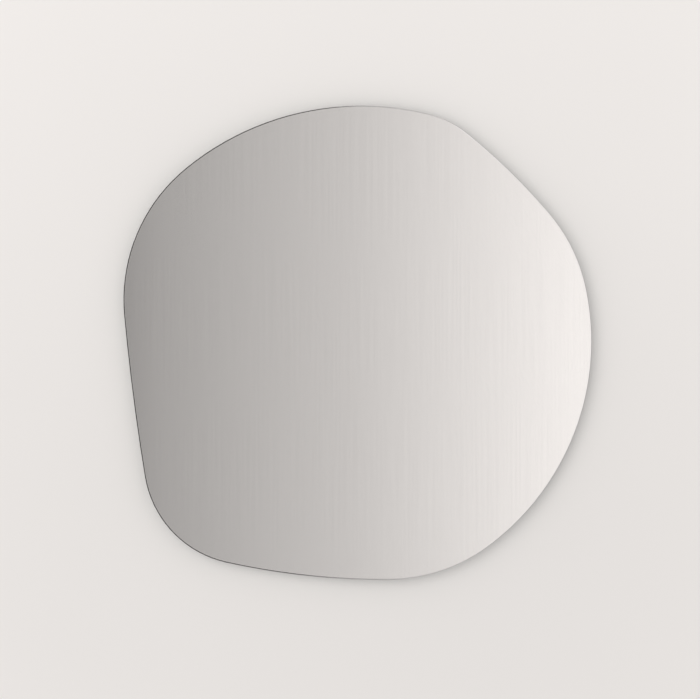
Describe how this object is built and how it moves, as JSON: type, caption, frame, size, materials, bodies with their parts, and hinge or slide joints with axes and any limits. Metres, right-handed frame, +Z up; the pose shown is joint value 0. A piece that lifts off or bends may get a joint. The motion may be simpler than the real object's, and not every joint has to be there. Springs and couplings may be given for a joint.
{
  "type": "irregular shaped mirror",
  "caption": "Frameless wall mirror with an irregular rounded outline, on a backing board that hangs on a Z rail and lifts off upward.",
  "frame": {"origin": "middle of the wall rail's row of screw holes, on the wall face of the rail", "axes": "+Z up, +X to the right of somebody who looks at the mirror, +Y into the wall; the mirror faces -Y"},
  "size_m": [0.7001, 0.0215, 0.7092],
  "materials": {
    "clear_glass": "polished",
    "silver": "mirror",
    "back_paint": "matt",
    "film": "satin",
    "foam": "matt",
    "adhesive": "satin",
    "board": "matt",
    "rail_aluminium": "satin",
    "screw_steel": "zinc plated",
    "rubber": "matt"
  },
  "bodies": {
    "wall_side": {"wall_rail": "rail_aluminium"},
    "mirror": {"glass_pane": "clear_glass", "silver_layer": "silver", "protective_paint": "back_paint", "safety_film": "film", "foam_tape_left": "foam", "adhesive_bead_1": "adhesive", "adhesive_bead_2": "adhesive", "foam_tape_middle": "foam", "adhesive_bead_3": "adhesive", "adhesive_bead_4": "adhesive", "foam_tape_right": "foam", "backing_board": "board", "board_rail": "rail_aluminium", "board_rail_screw_1": "screw_steel", "board_rail_screw_2": "screw_steel", "board_rail_screw_3": "screw_steel", "board_rail_screw_4": "screw_steel", "bumper_upper_left": "rubber", "bumper_upper_right": "rubber", "bumper_lower_left": "rubber", "bumper_lower_right": "rubber", "bumper_screw_upper_left": "screw_steel", "bumper_screw_upper_right": "screw_steel", "bumper_screw_lower_left": "screw_steel", "bumper_screw_lower_right": "screw_steel"}
  },
  "joints": [
    {"name": "lift_off", "type": "slide", "parent": "wall_side", "child": "mirror", "axis": [0, 0, 1], "range_m": [0, 0.012]}
  ]
}
